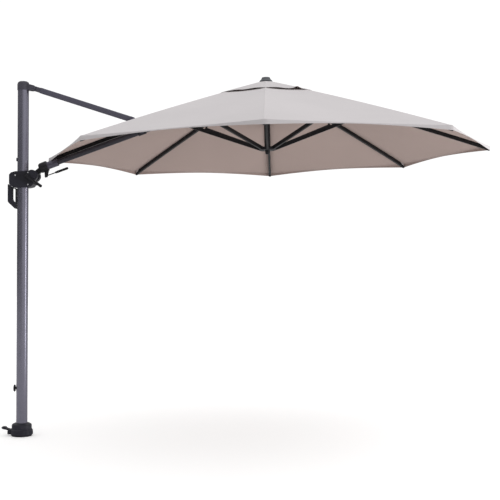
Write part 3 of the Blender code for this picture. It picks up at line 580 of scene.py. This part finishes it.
def vent_point(azimuth, radius, drop):
    """A point on the vent roof: an octagon in plan, its hem lifted between the corners."""
    from_middle = math.radians((azimuth % GORE) - GORE / 2)
    round_share = max(0.0, 1 - (radius - VENT_INNER_R) / VENT_ROUND)
    near = radius * (round_share + (1 - round_share) * math.cos(HALF_GORE) / math.cos(from_middle))
    from_corner = radius * (HALF_GORE - abs(from_middle))
    seam = VENT_SEAM_RISE * max(0.0, 1 - (from_corner / VENT_SEAM_HALF) ** 2) if drop == 0 else 0.0
    lift = vent_hem_lift(azimuth) * (radius / VENT_R) ** 5
    return canopy_point(azimuth, near, vent_height(radius) + lift + seam - drop)


def vent_turns():
    """The azimuths of the vent roof's points: close together at its corners and at the pucker."""
    turns = [GORE * k + d for k in range(SECTORS) for d in VENT_TURNS]
    return sorted(turns + [PUCKER_AZIMUTH + d for d in PUCKER_STEPS])


def build_vent_cap(materials):
    """The small roof over the vent hole: one closed sheet round the finial, doubled and taped at its hem."""
    turns = vent_turns()
    tops, unders, faces, pick = [], [], [], []
    for radius in VENT_RADII:
        thickness = CLOTH_T * (1 if radius < VENT_DOUBLED_R else 2)
        tops += [vent_point(azimuth, radius, 0) for azimuth in turns]
        unders += [vent_point(azimuth, radius, thickness) for azimuth in turns]
    total, across, rings = len(tops), len(turns), len(VENT_RADII) - 1
    for i in range(rings):
        for j in range(across):
            a, b = i * across + j, i * across + (j + 1) % across
            quad = (a, b, b + across, a + across)
            faces += [quad, tuple(v + total for v in reversed(quad))]
            pick += [1 if i >= rings - VENT_TAPE_RINGS else 0, 2]
    pairs = []
    for start in (0, rings * across):
        for j in range(across):
            a, b = start + j, start + (j + 1) % across
            faces.append((a, b, b + total, a + total))
            pick.append(1)
            pairs.append((a, b))
    # The underside takes the painted-shade cloth: the top cloth made darker and warmer.
    cloths = [materials[name] for name in ("canopy_fabric", "seam_tape", "canopy_under_painted_shade")]
    cap = outward(link_mesh("vent_roof", tops + unders, faces, cloths, pick))
    crisp_rim(cap, pairs, total)
    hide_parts("vent_cap")
    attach(cap, "canopy_hub")
    return cap


def build_canopy(materials):
    sectors, edges = [], []
    for number in range(SECTORS):
        sectors.append(build_sector(number, materials))
        edges.append([build_hem(number, materials), build_skirt(number, materials)])
        build_pocket(number, materials)
        build_tip(number, materials)
    build_vent_cap(materials)


# ---------------------------------------------------------------- CAD nodes

def dress_frame(materials):
    """Gives each CAD node the material of its slot, apart from the few that look different: the outer boom
    tube, whose darker coat is painted shade, and the mast cap and strut eye, in a lighter moulding.
    """
    slots = {row["node"]: row["material_slot"] for row in frame["record"]["subparts"]}
    slots.update(SLOTS_BY_LOOK)
    for name, obj in frame["nodes"].items():
        if "custom_normal" in obj.data.attributes:
            obj.data.attributes.remove(obj.data.attributes["custom_normal"])
        obj.data.materials.clear()
        obj.data.materials.append(materials[slots[name]])
        smooth_by_angle(obj, CRISP_ANGLE)


# ---------------------------------------------------------------- stage

def build_floor():
    """A pale floor that looks white to the camera, and gives the object a softer bounce than white would."""
    material, tree, shader = new_material("floor_paint", (0.93, 0.93, 0.93), roughness=0.9)
    shader.inputs["Emission Color"].default_value = (1, 1, 1, 1)
    shader.inputs["Emission Strength"].default_value = FLOOR_GLOW
    bounce = add(tree, "ShaderNodeBsdfDiffuse", Color=(FLOOR_BOUNCE, FLOOR_BOUNCE, FLOOR_BOUNCE, 1))
    path, mix = add(tree, "ShaderNodeLightPath"), add(tree, "ShaderNodeMixShader")
    output = tree.nodes["Material Output"]
    tree.links.new(path.outputs["Is Camera Ray"], mix.inputs["Fac"])
    tree.links.new(bounce.outputs[0], mix.inputs[1])
    tree.links.new(shader.outputs[0], mix.inputs[2])
    tree.links.new(mix.outputs[0], output.inputs["Surface"])
    corners = [(x * FLOOR_HALF, y * FLOOR_HALF, 0) for x, y in ((-1, -1), (1, -1), (1, 1), (-1, 1))]
    floor = link_mesh("studio_floor", corners, [(0, 1, 2, 3)], [material])
    floor.location.z = FLOOR_Z


def build_softbox():
    """A tall narrow light on the canopy's side, for the bright line down the mast."""
    data = bpy.data.lights.new("mast softbox", "AREA")
    data.shape = "RECTANGLE"
    data.size, data.size_y = SOFTBOX_SIZE
    data.energy = SOFTBOX_POWER
    light = bpy.data.objects.new("mast softbox", data)
    light.location = SOFTBOX_AT
    aim = Vector(SOFTBOX_TOWARDS) - Vector(SOFTBOX_AT)
    light.rotation_euler = aim.to_track_quat("-Z", "Y").to_euler()
    bpy.context.scene.collection.objects.link(light)


def build_world():
    """A white studio: white behind the object, lit from above, and from one side more than the other."""
    world = bpy.data.worlds.new("studio")
    world.use_nodes = True
    tree = world.node_tree
    tree.nodes.clear()
    place = add(tree, "ShaderNodeTexCoord")
    parts = add(tree, "ShaderNodeSeparateXYZ")
    towards = add(tree, "ShaderNodeVectorMath", operation="DOT_PRODUCT")
    turn = math.radians(SIDE_AZIMUTH)
    towards.inputs[1].default_value = (math.cos(turn), math.sin(turn), 0)
    side, height = add(tree, "ShaderNodeMapRange"), add(tree, "ShaderNodeMapRange")
    side.inputs["From Min"].default_value = SIDE_START
    side.inputs["From Max"].default_value = SIDE_END
    side.inputs["To Min"].default_value = SIDE_DARK
    side.inputs["To Max"].default_value = SIDE_BRIGHT
    height.inputs["To Max"].default_value = TOP_LIGHT
    lighting = add(tree, "ShaderNodeBackground")
    behind = add(tree, "ShaderNodeBackground", Color=(1, 1, 1, 1), Strength=BACKDROP)
    path, mix = add(tree, "ShaderNodeLightPath"), add(tree, "ShaderNodeMixShader")
    output = add(tree, "ShaderNodeOutputWorld")
    tree.links.new(place.outputs["Generated"], parts.inputs[0])
    tree.links.new(place.outputs["Generated"], towards.inputs[0])
    tree.links.new(towards.outputs["Value"], side.inputs["Value"])
    tree.links.new(parts.outputs["Z"], height.inputs["Value"])
    tree.links.new(side.outputs["Result"], height.inputs["To Min"])
    tree.links.new(height.outputs["Result"], lighting.inputs["Strength"])
    tree.links.new(path.outputs["Is Camera Ray"], mix.inputs["Fac"])
    tree.links.new(lighting.outputs[0], mix.inputs[1])
    tree.links.new(behind.outputs[0], mix.inputs[2])
    tree.links.new(mix.outputs[0], output.inputs["Surface"])
    bpy.context.scene.world = world


def build_camera():
    """The camera of the photograph: its yaw, pitch and roll are measured from a level look along +Y."""
    level = math.cos(CAMERA_PITCH)
    forward = Vector((math.sin(CAMERA_YAW) * level, math.cos(CAMERA_YAW) * level, math.sin(CAMERA_PITCH)))
    right = Vector((math.cos(CAMERA_YAW), -math.sin(CAMERA_YAW), 0))
    up = right.cross(forward)
    c, s = math.cos(CAMERA_ROLL), math.sin(CAMERA_ROLL)
    right, up = c * right + s * up, c * up - s * right
    data = bpy.data.cameras.new("camera")
    data.sensor_width, data.lens = SENSOR, CAMERA_LENS
    data.clip_end = 200
    camera = bpy.data.objects.new("camera", data)
    camera.matrix_world = Matrix((right, up, -forward)).transposed().to_4x4()
    camera.location = CAMERA_AT
    bpy.context.scene.collection.objects.link(camera)
    bpy.context.scene.camera = camera


def build_object():
    materials = make_materials()
    dress_frame(materials)
    build_canopy(materials)


def build_studio():
    build_floor()
    build_world()
    build_softbox()
    build_camera()
    bpy.context.scene.view_settings.view_transform = "Standard"


build_object()
build_studio()
